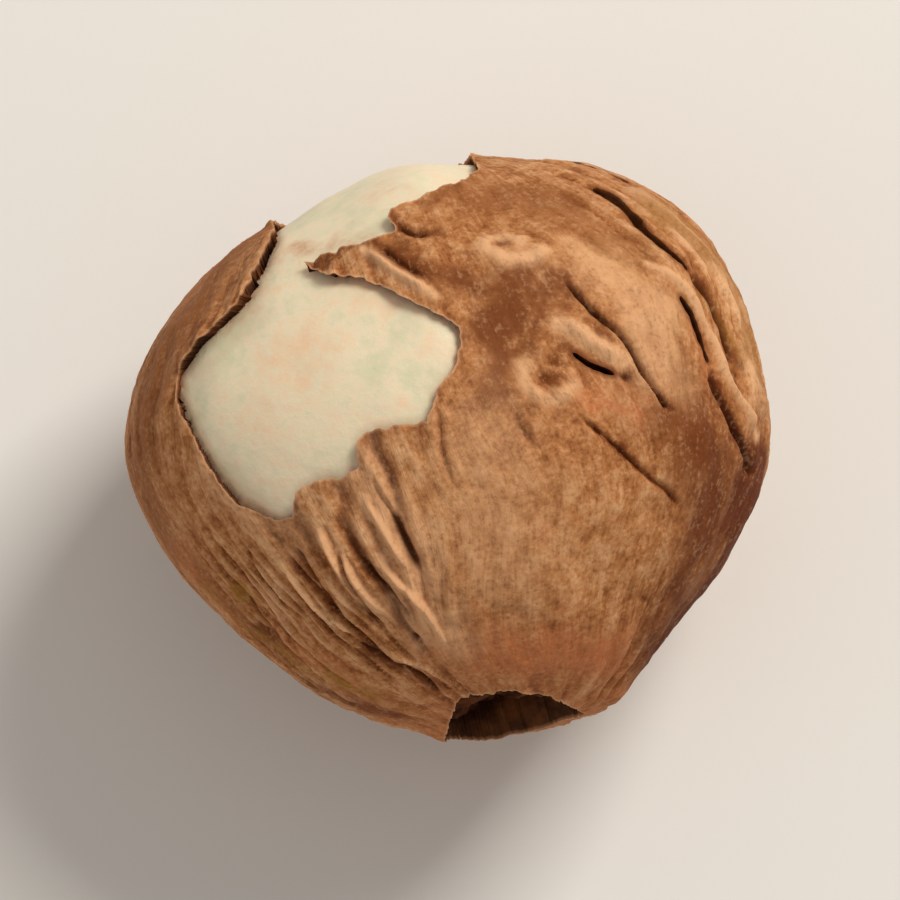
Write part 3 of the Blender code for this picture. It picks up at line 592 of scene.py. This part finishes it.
def wrinkles(directions, turn, angle):
    degrees = np.degrees(angle)
    strength = skin["strength"] + weighed(directions, *skin["strengthNoise"])
    strength = strength + areaSum(directions, skin["wrinkled"])
    share, middle, width = skin["collar"]
    strength = np.clip(strength + share * np.exp(-((degrees - middle) / width) ** 2), 0, 1)
    room = np.clip(np.sin(angle) / skin["narrowAt"], skin["narrowest"], 1)
    wiggle = weighed(directions, *skin["wiggle"])
    columns, join = skin["columns"], skin["joinOver"]

    # towards the ends there is room for a half and then a quarter of the wrinkles
    full, half, quarter = (crests(turn + wiggle, angle, columns // k) for k in (1, 2, 4))
    end = np.minimum(degrees, 180 - degrees)
    crest = half + (full - half) * smooth((end - skin["allFrom"]) / join)
    crest = quarter + (crest - quarter) * smooth((end - skin["halfFrom"]) / join)
    close = crests(turn + skin["closeWiggle"] * wiggle, angle, columns * 2)
    close = close * smooth((end - skin["closeFrom"]) / skin["closeOver"])
    crest = (skin["crestShare"] - skin["crestLost"] * strength) * crest
    crest = crest + skin["closeShare"] * close * strength
    height = crest * room * (skin["fine"] + (skin["deep"] - skin["fine"]) * strength)

    fibre = fibreAt(turn, angle)
    level, (share, scale), (finerShare, finer) = skin["hairlines"]
    hairline = level - share * np.abs(noiseAt(fibre, scale))
    hairline = hairline - finerShare * np.abs(noiseAt(fibre, finer, (3, 1, 7)))
    threads = twoNoises(fibre, *skin["threadNoise"])
    least, more = skin["hairlineShare"]
    height += skin["hairline"] * (least + more * strength) * hairline + skin["threads"] * threads
    mottle = twoNoises(directions, *skin["mottleNoise"], (2, 5, 1))
    mottle *= 1 + areaSum(directions, skin["pitted"])
    height = height + skin["mottle"] * mottle + weighed(directions, *skin["grain"])
    return height, strength


def foldPaths():
    paths = [(fold[:3], linePath(fold[3:])) for fold in skin["folds"]]
    return paths + [(fold[:3], linePath(fold[3:], far)) for fold in skin["farFolds"]]


def foldHeights(spots, paths):  # the lines themselves, and the skin raised beside them
    lines, lips = np.zeros(len(spots)), np.zeros(len(spots))
    for (height, lip, width), path in paths:
        apart, nearest, toEnd = path.measure(spots, skin["foldReach"])
        fade = smooth(toEnd / skin["foldEnd"]) * mm
        power = skin["ridgePower"] if height > 0 else skin["groovePower"]
        line = np.exp(-(np.abs(apart) / (width * mm)) ** power)
        lines += fade * height * line
        raised = np.where(apart > 0, lip, skin["lipBehind"] * lip)
        raised = raised * np.exp(-np.abs(apart) / skin["lipReach"])
        lips += fade * raised * (1 - line)
    return lines, lips


def lumps(directions):
    height = weighed(directions, *body["wideLumps"], (4, 1, 2))
    height = height + weighed(directions, *body["smallLumps"])
    return height + mm * areaSum(directions, body["mounds"])


def rimHeight(directions, angle):
    uneven = 1 + weighed(directions, *tears["rimNoise"])
    place = (np.degrees(angle) - tears["hollowAngle"]) / tears["rimWidth"]
    return tears["rimHeight"] * uneven * np.exp(-place ** 2)


def floorRadius(tear, kinds, depths, base, angle, directions):
    dish = smooth(1 - (np.degrees(angle) / tears["hollowAngle"]) ** 2)
    share, scale = tears["hollowCracks"]
    rough = twoNoises(directions, *tears["hollowNoise"])
    rough = rough - share * np.abs(noiseAt(directions, scale))
    hollow = tears["hollowStep"] + tears["hollowDepth"] * dish + tears["hollowRough"] * rough
    flesh = skin["overFlesh"]
    for layer in tears["fleshNoise"]:
        flesh = flesh - weighed(directions, *layer)
    kind = kinds[tear]
    depth = np.select((kind == "flesh", kind == "hollow"), (flesh, hollow), depths[tear])
    return base - depth


def settle(points):  # the flat spot, and the place of the solid's own box
    lowest = points[:, 2].min()
    depth = meanRadius - math.sqrt(meanRadius ** 2 - body["flatSpot"] ** 2)
    points[:, 2] = np.maximum(points[:, 2], lowest + depth)
    solidLow, solidHigh = np.array(kernelLow), np.array(kernelHigh)
    low, high = points.min(axis=0), points.max(axis=0)
    fit = min(1.0, (body["roomInBox"] * (solidHigh - solidLow) / (high - low)).min())
    shift = (solidLow + solidHigh - (low + high) * fit) / 2
    shift[2] = kernelLow.z - low[2] * fit
    print("fitted to the solid's box by", round(fit, 4))
    return points * fit + shift, Vector(shift)


def awayFromTear(directions, faces, border):  # at each torn edge, the way under the skin
    away = np.zeros_like(directions)
    middles = directions[faces].mean(axis=1)
    for corner in range(3):
        step = middles - directions[faces[:, corner]]
        for axis in range(3):
            away[:, axis] += np.bincount(faces[:, corner], step[:, axis], len(directions))
    away = away[border]
    away -= directions[border] * (away * directions[border]).sum(axis=1, keepdims=True)
    return away / np.maximum(np.linalg.norm(away, axis=1, keepdims=True), tiny)


def meshOf(points, faces, material, values, fibre):
    used = np.unique(faces)
    renumber = np.full(len(points), -1)
    renumber[used] = np.arange(len(used))
    world, shift = settle(toWorld(points[used]))
    mesh = bpy.data.meshes.new("kernelSkinAndFlesh")
    mesh.from_pydata(world.tolist(), [], renumber[faces].tolist())
    mesh.polygons.foreach_set("material_index", material)
    for name, value in values.items():
        layer = mesh.attributes.new(name, "FLOAT", "POINT")
        layer.data.foreach_set("value", value[used].astype(np.float32))
    runs = mesh.attributes.new("fibre", "FLOAT_VECTOR", "POINT")
    runs.data.foreach_set("vector", fibre[used].astype(np.float32).ravel())
    mesh.shade_smooth()
    mesh.set_sharp_from_angle(angle=math.radians(kernelGrid["sharpAngle"]))
    mesh.update()
    return mesh, shift


kernelGrid = dict(
    cells=84, lean=0.25, reach=1 * mm,
    band=0.28 * mm, tearBand=0.1 * mm, fineFrom=0.5,  # where the grid is made finer
    sharpAngle=60,
)


def makeKernel():
    found, folds, reach = tearPaths(), foldPaths(), kernelGrid["reach"]
    directions, faces = ball(kernelGrid["cells"], kernelGrid["lean"])
    tearLines = [path for kind, path, depth in found]
    near = np.minimum(distanceTo(tearLines, directions, reach),
                      distanceTo([path for size, path in folds], directions, reach))
    wrinkled = areaSum(directions, skin["wrinkled"]) > kernelGrid["fineFrom"]
    directions, faces = refine(directions, faces, (near < kernelGrid["band"]) | wrinkled)
    near = distanceTo(tearLines, directions, reach)
    directions, faces = refine(directions, faces, near < kernelGrid["tearBand"])
    sides, sideOf = sidesOf(faces, len(directions))
    label = np.full(len(faces), -1)
    edgeApart, slitApart = np.full((2, len(directions)), farAway)
    for index, (kind, path, depth) in enumerate(found):
        apart = pullTo(directions, sides, path)
        label[insideOf(directions, faces, apart, path) & (label < 0)] = index
        which = slitApart if kind == "slit" else edgeApart
        np.minimum(which, np.abs(apart), out=which)
    print("grid:", len(directions), "points,", len(found), "tears")

    spots = chart(directions)
    turn, angle = turnAndAngle(directions)
    base = bodyRadius(directions) + lumps(directions)
    down = np.degrees(np.arccos(np.clip(-toWorld(directions)[:, 2], -1, 1)))
    plain = smooth((down - body["plainUnderside"]) / body["plainUnderside"])
    fine, wrinkled = wrinkles(directions, turn, angle)
    fine += mm * areaSum(directions, skin["blisters"])
    lines, lips = foldHeights(spots, folds)
    curl, *points = tears["liftedEdge"]
    apart, nearest, toEnd = linePath(points).measure(spots, tears["curlReach"])
    lifted = curl * mm * smooth(toEnd / skin["foldEnd"]) * np.exp(-(apart / skin["lipReach"]) ** 2)
    near = np.exp(-(edgeApart / tears["liftReach"]) ** 2)
    near = near * smooth((np.degrees(angle) - tears["liftFrom"]) / tears["liftOver"])
    least, *uneven = tears["liftNoise"]
    lifted = lifted + tears["lift"] * near * (least + weighed(directions, *uneven))
    relief = (fine + lines + lips + rimHeight(directions, angle) + lifted) * plain
    # painted shade and highlight: points below the skin's smooth surface are coloured darker,
    # points above it lighter
    cavity = (fine + skin["lineShade"] * lines) * plain / skin["shadeHeight"]
    print("relief worked out")

    # torn edges: each border point is doubled below, at the skin's underside and at the floor
    kinds = np.array([kind for kind, path, depth in found])
    depths = np.array([depth for kind, path, depth in found])
    tearOf = np.full(len(directions), -1)
    for corner in range(3):
        tearOf[faces[label >= 0][:, corner]] = label[label >= 0]
    ofSide = np.full((len(sides), 2), -1)
    order = np.argsort(sideOf.ravel(), kind="stable")
    ofSide[:] = order.reshape(-1, 2) // 3
    torn = (label[ofSide[:, 0]] >= 0) != (label[ofSide[:, 1]] >= 0)
    border = np.unique(sides[torn])
    count = len(directions)
    rim = np.full(count, -1)
    rim[border] = np.arange(len(border))
    away = awayFromTear(directions, faces[label < 0], border)
    tearBelow, ways = tearOf[border], directions[border]
    share = np.where(kinds[tearBelow] == "slit", tears["slitUnder"], 1.0)[:, None]
    under = tears["under"] * share / meanRadius
    lower = unit(ways + away * under * tears["lowerShare"])
    deep = unit(ways + away * under)

    radius = base + relief
    inner = np.flatnonzero((tearOf >= 0) & (rim < 0))
    radius[inner] = floorRadius(
        tearOf[inner], kinds, depths, base[inner], angle[inner], directions[inner])
    deepRadius = floorRadius(tearBelow, kinds, depths, base[border], angle[border], ways)
    lowerRadius = np.maximum(radius[border] - skin["thickness"], deepRadius + skin["thinnest"])
    points = np.concatenate((
        directions * radius[:, None], lower * lowerRadius[:, None], deep * deepRadius[:, None]))

    floorFaces = faces[label >= 0].copy()
    onRim = rim[floorFaces] >= 0
    floorFaces[onRim] = count + len(border) + rim[floorFaces[onRim]]
    # a torn side runs in the order of its skin triangle
    skinOwner = np.where(label[ofSide[torn, 0]] < 0, ofSide[torn, 0], ofSide[torn, 1])
    owner = faces[skinOwner]
    start = (owner == sides[torn][:, :1]).argmax(axis=1)
    forward = owner[np.arange(len(owner)), (start + 1) % 3] == sides[torn][:, 1]
    first = np.where(forward, sides[torn][:, 0], sides[torn][:, 1])
    second = np.where(forward, sides[torn][:, 1], sides[torn][:, 0])
    lowA, lowB = count + rim[first], count + rim[second]
    deepA, deepB = lowA + len(border), lowB + len(border)
    walls = np.concatenate([np.stack(three, 1) for three in (
        (second, first, lowA), (second, lowA, lowB), (lowB, lowA, deepA), (lowB, deepA, deepB))])
    allFaces = np.concatenate((faces[label < 0], floorFaces, walls))
    fleshFaces = np.where(kinds[label[label >= 0]] == "flesh", 1, 0)
    material = np.concatenate((
        np.zeros((label < 0).sum(), int), fleshFaces, np.zeros(len(walls), int)))

    # what the materials read: how deep a point lies, which paints shade and highlight, the run of
    # the fibres, how near a torn edge is
    source = np.concatenate((np.arange(count), border, border))
    cavity[inner] = 0
    # painted shade: slit floors, the hollow's floor and the walls under torn skin turn dark brown;
    # in the hollow it is partly its own dark brown
    hidden = np.zeros(count)
    hidden[inner] = kinds[tearOf[inner]] != "flesh"
    onWalls = np.full(len(border), tears["wallShade"])
    hidden = np.concatenate((hidden, onWalls, np.ones(len(border))))
    values = dict(
        cavity=cavity[source], edgeApart=edgeApart[source] / mm, slitApart=slitApart[source] / mm,
        angle=angle[source], hidden=hidden, wrinkled=wrinkled[source])
    wandered = spots.copy()
    for scale, amount in tintWander:
        for axis in range(2):  # the noise reaches half way to either side
            shift = (3.0, 9.0 * axis, 1.0)
            wandered[:, axis] += amount * mm * 2 * noiseAt(directions, scale, shift)
    for name, strokes in tints.items():
        values[name] = strokeSum(spots, wandered, strokes)[source]

    mesh, shift = meshOf(points, allFaces, material, values, fibreAt(turn, angle)[source])
    piece = bpy.data.objects.new("kernelSkinAndFlesh", mesh)
    bpy.context.scene.collection.objects.link(piece)
    print("kernel:", len(allFaces), "triangles")
    return piece, shift


class Wire:  # one socket of a material, so that sums on it read as sums
    def __init__(self, tree, socket=None):
        self.tree, self.socket = tree, socket

    def node(self, kind, settings={}, inputs={}, output=0):
        made = self.tree.nodes.new(kind)
        for name, value in settings.items():
            if name == "stops":
                ramp = made.color_ramp
                while len(ramp.elements) < len(value):
                    ramp.elements.new(0.5)
                for element, (place, colour) in zip(ramp.elements, value):
                    element.position, element.color = place, colour
            else:
                setattr(made, name, value)
        for name, value in inputs.items():
            if isinstance(value, Wire):
                self.tree.links.new(value.socket, made.inputs[name])
            else:
                made.inputs[name].default_value = value
        return Wire(self.tree, made.outputs[output] if len(made.outputs) else None)

    def sum(self, operation, a, b=0.0):
        return self.node("ShaderNodeMath", {"operation": operation}, {0: a, 1: b})

    def __add__(self, other): return self.sum("ADD", self, other)
    def __radd__(self, other): return self.sum("ADD", other, self)
    def __sub__(self, other): return self.sum("SUBTRACT", self, other)
    def __rsub__(self, other): return self.sum("SUBTRACT", other, self)
    def __mul__(self, other): return self.sum("MULTIPLY", self, other)
    def __rmul__(self, other): return self.sum("MULTIPLY", other, self)

    def size(self):
        return self.sum("ABSOLUTE", self)

    def clipped(self, low=0.0, high=1.0):
        return self.node("ShaderNodeClamp", {}, {0: self, 1: low, 2: high})

    def stretched(self, x, y, z):  # a vector with each axis scaled
        return self.node("ShaderNodeVectorMath", {"operation": "MULTIPLY"}, {0: self, 1: (x, y, z)})

    def mix(self, other, amount):
        inputs = {0: amount, 6: self, 7: other}
        return self.node("ShaderNodeMix", {"data_type": "RGBA"}, inputs, output=2)

    def noise(self, scale, detail, roughness):
        inputs = {"Vector": self, "Scale": scale, "Detail": detail, "Roughness": roughness}
        return self.node("ShaderNodeTexNoise", {}, inputs, output="Fac")

    def ramp(self, *stops):
        return self.node("ShaderNodeValToRGB", {"stops": stops}, {0: self})

    def read(self, name, output="Fac"):
        return self.node("ShaderNodeAttribute", {"attribute_name": name}, output=output)

    def place(self):  # where the point is, in mm
        return self.node("ShaderNodeTexCoord", output="Object").stretched(1 / mm, 1 / mm, 1 / mm)

    def bump(self, strength, distance, below=None):
        inputs = {"Strength": strength, "Distance": distance, "Height": self}
        if below is not None:
            inputs["Normal"] = below
        return self.node("ShaderNodeBump", {}, inputs)


def srgb(red, green, blue):  # a colour as the eye reads it off a screen, in 0 to 255
    shares = [value / 255 for value in (red, green, blue)]
    return (*(s / 12.92 if s <= 0.04045 else ((s + 0.055) / 1.055) ** 2.4 for s in shares), 1.0)


def newMaterial(name):
    made = bpy.data.materials.new(name)
    made.use_nodes = True
    made.node_tree.nodes.clear()
    return made, Wire(made.node_tree)


def finish(material, wire, inputs):
    shader = wire.node("ShaderNodeBsdfPrincipled", {}, inputs)
    wire.node("ShaderNodeOutputMaterial", {}, {"Surface": shader})
    return material


skinLook = dict(
    # groove, deep, middle and crest: the tone ramp, which also paints shade in grooves and a
    # highlight on crests
    groove=srgb(80, 36, 12), deep=srgb(132, 76, 38), middle=srgb(177, 117, 70),
    crest=srgb(222, 172, 126), rust=srgb(190, 114, 70), red=srgb(102, 47, 18),
    # pale is the skin's lighter tan and partly painted highlight; dark is its darker brown and in
    # places painted shade
    dusty=srgb(142, 86, 46), pale=srgb(216, 164, 120), dark=srgb(122, 68, 34),
    # hollow and rim: painted shade inside slits, in the hollow and under torn skin; in the hollow
    # partly its own dark brown
    olive=srgb(160, 110, 48), hollow=srgb(52, 22, 9), rim=srgb(124, 70, 34),
    edge=srgb(220, 170, 130),
    # noises: scale, detail and roughness. The first three run along the fibres
    streakNoise=(60, 4, 0.6), threadNoise=(170, 3, 0.6), veinNoise=(24, 3, 0.6),
    blotchNoise=(0.7, 4, 0.55), mottleNoise=(2.6, 4, 0.65), fleckNoise=(9.0, 3, 0.6),
    hollowNoise=(1.6, 4, 0.65), poreNoise=(14, 3, 0.6),
    veinWidth=7.0, leastWrinkled=0.2,
    calm=(1.3, 0.3, 1.0),  # the fibres run together at the blunt end
    # the tone: its middle, what each part adds, and where the ramp's colours stand. Through the
    # cavity share the ramp paints shade in grooves and creases and a highlight on crests
    tone=0.53, cavity=0.16, streaks=0.22, threads=0.1, blotches=0.6, mottle=0.7, flecks=0.35,
    veins=0.16, stops=(0.05, 0.3, 0.53, 0.95),
    tintShares=dict(rust=0.9, red=1.0, dusty=0.8, olive=0.8, dark=1.0, pale=0.9),
    tintMottle=0.9, tintStreaks=0.5, rustAngle=0.75,
    # marks: where each starts, how fast it grows and its most
    deepest=(1.2, 0.4, 0.85), darkSpecks=(0.03, 1.3, 0.4), paleSpecks=(0.04, 1.2, 0.25),
    tornEdge=(-0.07, 8.0, 0.5), slitEdge=(-0.12, 6.0, 0.6), speckStreaks=0.7, speckMottle=0.6,
    hollowStops=(0.4, 0.75),
    roughness=0.66, smoothest=0.35, roughest=0.9, specular=0.08,
    fibreBump=(0.4, 0.06 * mm), poreBump=(0.25, 0.03 * mm),
)


def skinMaterial():
    look = skinLook
    material, wire = newMaterial("paperySkin")
    fibre, place = wire.read("fibre", "Vector"), wire.place()
    cavity, hidden, angle = wire.read("cavity"), wire.read("hidden"), wire.read("angle")
    streaks = fibre.stretched(1, 1, 0.6).noise(*look["streakNoise"]) - 0.5
    threads = fibre.stretched(1, 1, 1.2).noise(*look["threadNoise"]) - 0.5
    blotches = place.noise(*look["blotchNoise"]) - 0.5
    mottle = place.noise(*look["mottleNoise"]) - 0.5
    flecks = place.noise(*look["fleckNoise"]) - 0.5
    least = look["leastWrinkled"]
    wrinkled = wire.read("wrinkled") * (1 - least) + least
    veins = (fibre.stretched(1, 1, 0.5).noise(*look["veinNoise"]) - 0.5).size()
    veins = (0.5 - veins * look["veinWidth"]).clipped(-0.5, 0.5)
    gain, low, high = look["calm"]
    calm = (angle * gain).clipped(low, high)
    streaks, wrinkled = streaks * calm, wrinkled * calm

    # painted shade in grooves and creases and painted highlight on crests, through the cavity
    tone = look["tone"] + cavity * look["cavity"] + streaks * look["streaks"]
    tone = tone + threads * look["threads"] + blotches * look["blotches"]
    tone = tone + mottle * look["mottle"] + flecks * look["flecks"]
    tone = tone + veins * wrinkled * look["veins"]
    colours = [look[name] for name in ("groove", "deep", "middle", "crest")]
    colour = tone.clipped().ramp(*zip(look["stops"], colours))
    nearBase = (look["rustAngle"] - angle).clipped()
    for name, share in look["tintShares"].items():
        amount = wire.read(name)
        if name == "rust":
            amount = amount + nearBase
        uneven = share + mottle * look["tintMottle"] + streaks * look["tintStreaks"]
        colour = colour.mix(look[name], (amount * uneven).clipped())
    specks = streaks * look["speckStreaks"]
    # deepest: painted shade in the grooves, broken by a random mottle
    for name, signal, mark in (
            ("groove", mottle - cavity, "deepest"), ("groove", 0 - flecks - specks, "darkSpecks"),
            ("crest", flecks + mottle * look["speckMottle"] + specks, "paleSpecks"),
            ("edge", 0 - wire.read("edgeApart"), "tornEdge"),
            ("red", 0 - wire.read("slitApart"), "slitEdge")):
        start, gain, most = look[mark]
        colour = colour.mix(look[name], ((signal - start) * gain).clipped(0.0, most))
    # painted shade: slit floors, the hollow and the walls under torn skin are mixed towards dark
    # browns; in the hollow partly its own dark brown
    inside = place.noise(*look["hollowNoise"])
    inside = inside.ramp(*zip(look["hollowStops"], (look["hollow"], look["rim"])))
    colour = colour.mix(inside, hidden)

    roughness = look["roughness"] + flecks * 0.2 - blotches * 0.15 + hidden * 0.4
    normal = (veins * 0.8 + streaks * 1.2) * wrinkled + threads * 0.4
    normal = normal.bump(*look["fibreBump"])
    normal = (place.noise(*look["poreNoise"]) + mottle * 0.5).bump(*look["poreBump"], normal)
    return finish(material, wire, {
        "Base Color": colour, "Roughness": roughness.clipped(look["smoothest"], look["roughest"]),
        "Normal": normal, "Specular IOR Level": look["specular"]})


fleshLook = dict(
    cool=srgb(214, 210, 174), cream=srgb(234, 218, 186), warm=srgb(238, 204, 168),
    # the stain colour also paints shade near the flesh's left edge
    stainAndShade=srgb(186, 138, 96), stops=(0.35, 0.5, 0.68),
    wideNoise=(0.7, 3, 0.5), smallNoise=(3.0, 4, 0.6), fineNoise=(9, 4, 0.6),
    edgeDarkening=(0.8, 3.0),  # darker towards the torn edge: how much at the edge, and how fast it fades per mm
    roughness=0.5, smoothest=0.3, roughest=0.8, bump=(0.25, 0.04 * mm),
    specular=0.4, subsurface=0.2, subsurfaceScale=1.2 * mm,
)


def fleshMaterial():
    look = fleshLook
    material, wire = newMaterial("bareFlesh")
    place = wire.place()
    wide, small = place.noise(*look["wideNoise"]), place.noise(*look["smallNoise"])
    colours = (look["cool"], look["cream"], look["warm"])
    colour = (wide * 0.6 + small * 0.4).ramp(*zip(look["stops"], colours))
    start, fade = look["edgeDarkening"]
    nearEdge = (start - wire.read("edgeApart") * fade).clipped()
    # stains, and near the left edge painted shade
    stained = (wire.read("stained") * (small * 2.4 - 0.6)).clipped()
    colour = colour.mix(look["stainAndShade"], (nearEdge * (0.15 + small * 0.5) + stained).clipped())
    roughness = look["roughness"] - 0.1 + small * 0.2
    return finish(material, wire, {
        "Base Color": colour, "Roughness": roughness.clipped(look["smoothest"], look["roughest"]),
        "Normal": place.noise(*look["fineNoise"]).bump(*look["bump"]),
        "Specular IOR Level": look["specular"], "Subsurface Weight": look["subsurface"],
        "Subsurface Scale": look["subsurfaceScale"]})


kernel, kernelMiddle = makeKernel()
kernel.data.materials.append(skinMaterial())
kernel.data.materials.append(fleshMaterial())
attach(kernel, "root")
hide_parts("kernel")


studio = dict(
    floorSize=1.6, floorColour=srgb(232, 229, 224), floorRoughness=0.85,
    lens=440, distance=0.25, clipStart=1 * mm, aimedAt=(0, 0, 6 * mm),
    lights=(  # name, place, size, power, colour
        ("keyLight", (0.11, 0.12, 0.19), 0.09, 0.48, (1.0, 0.96, 0.9)),
        ("fillLight", (-0.17, -0.08, 0.13), 0.16, 0.04, (0.97, 0.97, 1.0)),
    ),
    sky=(0.40, 0.38, 0.355),
)


def aimed(thing, place, target):
    thing.location = place
    thing.rotation_euler = (Vector(target) - Vector(place)).to_track_quat("-Z", "Y").to_euler()
    bpy.context.scene.collection.objects.link(thing)


def makeStudio():
    mesh = bpy.data.meshes.new("floor")
    half = studio["floorSize"] / 2
    corners = [(-half, -half, 0), (half, -half, 0), (half, half, 0), (-half, half, 0)]
    mesh.from_pydata(corners, [], [(0, 1, 2, 3)])
    floor = bpy.data.objects.new("floor", mesh)
    bpy.context.scene.collection.objects.link(floor)
    material, wire = newMaterial("floor")
    mesh.materials.append(finish(material, wire, {"Base Color": studio["floorColour"],
                                                  "Roughness": studio["floorRoughness"]}))
    for name, place, size, power, colour in studio["lights"]:
        light = bpy.data.lights.new(name, "AREA")
        light.size, light.energy, light.color = size, power, colour
        aimed(bpy.data.objects.new(name, light), place, studio["aimedAt"])
    world = bpy.data.worlds.new("sky")
    world.use_nodes = True
    world.node_tree.nodes["Background"].inputs["Color"].default_value = (*studio["sky"], 1.0)
    scene = bpy.context.scene
    scene.world = world
    scene.view_settings.view_transform = "Standard"
    camera = bpy.data.cameras.new("camera")
    camera.lens, camera.clip_start = studio["lens"], studio["clipStart"]
    eye = bpy.data.objects.new("camera", camera)
    tip = math.radians(body["viewElevation"])
    back = Vector((0, -math.cos(tip), math.sin(tip)))
    aimed(eye, kernelMiddle + back * studio["distance"], kernelMiddle)
    scene.camera = eye


makeStudio()
print("studio ready")
